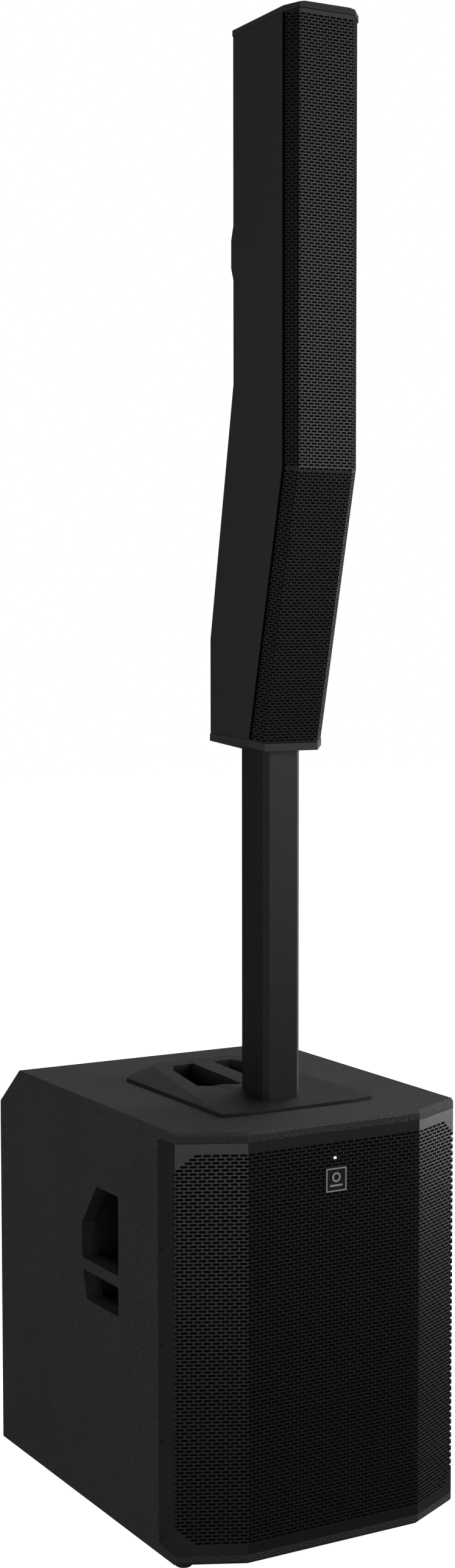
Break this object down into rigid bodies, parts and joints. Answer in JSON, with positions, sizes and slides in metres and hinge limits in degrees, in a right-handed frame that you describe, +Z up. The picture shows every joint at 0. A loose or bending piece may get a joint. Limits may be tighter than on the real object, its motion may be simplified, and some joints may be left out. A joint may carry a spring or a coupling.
{
  "type": "column loudspeaker",
  "caption": "Powered column loudspeaker: bass cabinet with folded perforated grille and hand openings, a docked pole and a slim kinked array.",
  "frame": {"origin": "on the floor, under the middle of the bass cabinet", "axes": "+Z up, -Y out of the grilled front, +X to the right seen from the front"},
  "size_m": [0.4524, 0.6074, 2.088],
  "materials": {
    "cabinet_paint": "black textured paint over plywood",
    "baffle_wood": "black stain",
    "brace_wood": "bare plywood",
    "absorber": "soft wadding",
    "grille_steel": "black powder coat, perforated",
    "mesh_cloth": "black acoustic cloth",
    "black_screw": "black oxide",
    "badge": "dark anodised, blank",
    "led": "clear lens",
    "cast_frame": "black painted casting",
    "magnet": "ferrite ring with steel plates",
    "surround": "matt",
    "spider": "impregnated cloth",
    "black_plastic": "moulded, satin",
    "contact": "plated contacts in a moulded block",
    "foot_rubber": "matt",
    "panel_metal": "black anodised",
    "circuit": "circuit board",
    "transformer": "wound core, taped",
    "gloss_black": "smooth",
    "display": "dark window",
    "cone_paper": "coated paper cone",
    "coil": "copper wire on a former",
    "pole_paint": "black powder coat on an extrusion",
    "shell_paint": "black textured paint"
  },
  "bodies": {
    "cabinet": {"left_side_panel": "cabinet_paint", "right_side_panel": "cabinet_paint", "top_panel": "cabinet_paint", "bottom_panel": "cabinet_paint", "rear_panel": "cabinet_paint", "rear_slope_panel": "cabinet_paint", "front_baffle": "baffle_wood", "window_brace": "brace_wood", "absorber_mat": "absorber", "front_grille": "grille_steel", "grille_mesh": "mesh_cloth", "grille_screws": "black_screw", "badge_plate": "badge", "power_led": "led", "woofer_basket": "cast_frame", "woofer_magnet": "magnet", "woofer_surround": "surround", "woofer_spider": "spider", "woofer_screws": "black_screw", "port_tubes": "black_plastic", "left_handle_cup": "black_plastic", "right_handle_cup": "black_plastic", "dock_plate": "black_plastic", "dock_contacts": "contact", "rubber_feet": "foot_rubber", "foot_screws": "black_screw", "amp_panel": "panel_metal", "amp_screws": "black_screw", "amp_board": "circuit", "power_transformer": "transformer", "mains_inlet": "gloss_black", "input_jacks": "black_plastic", "output_jack": "black_plastic", "display_window": "display"},
    "woofer_moving": {"woofer_cone": "cone_paper", "woofer_dust_cap": "cone_paper", "woofer_voice_coil": "coil"},
    "power_rocker": {"power_rocker": "gloss_black"},
    "encoder_stem": {"encoder_stem": "black_screw"},
    "encoder_knob": {"encoder_knob": "black_plastic"},
    "level_knob_left": {"level_knob_left": "black_plastic"},
    "level_knob_right": {"level_knob_right": "black_plastic"},
    "pole": {"pole_tube": "pole_paint", "pole_plugs": "black_plastic", "pole_contacts": "contact"},
    "array": {"array_shell": "shell_paint", "array_top_cap": "black_plastic", "array_bottom_cap": "black_plastic", "array_grille": "grille_steel", "array_mesh": "mesh_cloth", "array_baffle": "black_plastic", "array_driver_baskets": "cast_frame", "array_driver_magnets": "magnet", "array_driver_surrounds": "surround", "array_driver_screws": "black_screw", "array_socket": "black_plastic", "array_contacts": "contact", "array_filter_board": "circuit"},
    "array_upper_cones": {"array_upper_cones": "cone_paper"},
    "array_lower_cones": {"array_lower_cones": "cone_paper"}
  },
  "joints": [
    {"name": "pole_lift", "type": "slide", "parent": "cabinet", "child": "pole", "axis": [0, 0, 1], "range_m": [0, 0.095]},
    {"name": "array_lift", "type": "slide", "parent": "pole", "child": "array", "axis": [0, 0, 1], "range_m": [0, 0.085]},
    {"name": "woofer_travel", "type": "slide", "parent": "cabinet", "child": "woofer_moving", "axis": [0, -1, 0], "range_m": [-0.006, 0.006], "stiffness_N_per_m": 5000},
    {"name": "upper_cone_travel", "type": "slide", "parent": "array", "child": "array_upper_cones", "axis": [0, -1, 0], "range_m": [-0.002, 0.002], "stiffness_N_per_m": 1500},
    {"name": "lower_cone_travel", "type": "slide", "parent": "array", "child": "array_lower_cones", "axis": [0, -0.972, -0.2351], "range_m": [-0.002, 0.002], "stiffness_N_per_m": 1500},
    {"name": "power_switch", "type": "hinge", "parent": "cabinet", "child": "power_rocker", "pos_m": [-0.044, 0.2905, 0.132], "axis": [0, 0, 1], "range_deg": [0, 20]},
    {"name": "encoder_push", "type": "slide", "parent": "cabinet", "child": "encoder_stem", "axis": [0, -1, 0], "range_m": [0, 0.0008], "stiffness_N_per_m": 2000, "springref_m": -0.0004},
    {"name": "encoder_turn", "type": "hinge", "parent": "encoder_stem", "child": "encoder_knob", "pos_m": [0.012, 0.292, 0.262], "axis": [0, 1, 0], "continuous": true},
    {"name": "level_turn_left", "type": "hinge", "parent": "cabinet", "child": "level_knob_left", "pos_m": [0.062, 0.292, 0.262], "axis": [0, 1, 0], "range_deg": [-150, 150]},
    {"name": "level_turn_right", "type": "hinge", "parent": "cabinet", "child": "level_knob_right", "pos_m": [0.104, 0.292, 0.262], "axis": [0, 1, 0], "range_deg": [-150, 150]}
  ],
  "couplings": [
    {"joint": "lower_cone_travel", "follows": "upper_cone_travel", "ratio": 1}
  ]
}
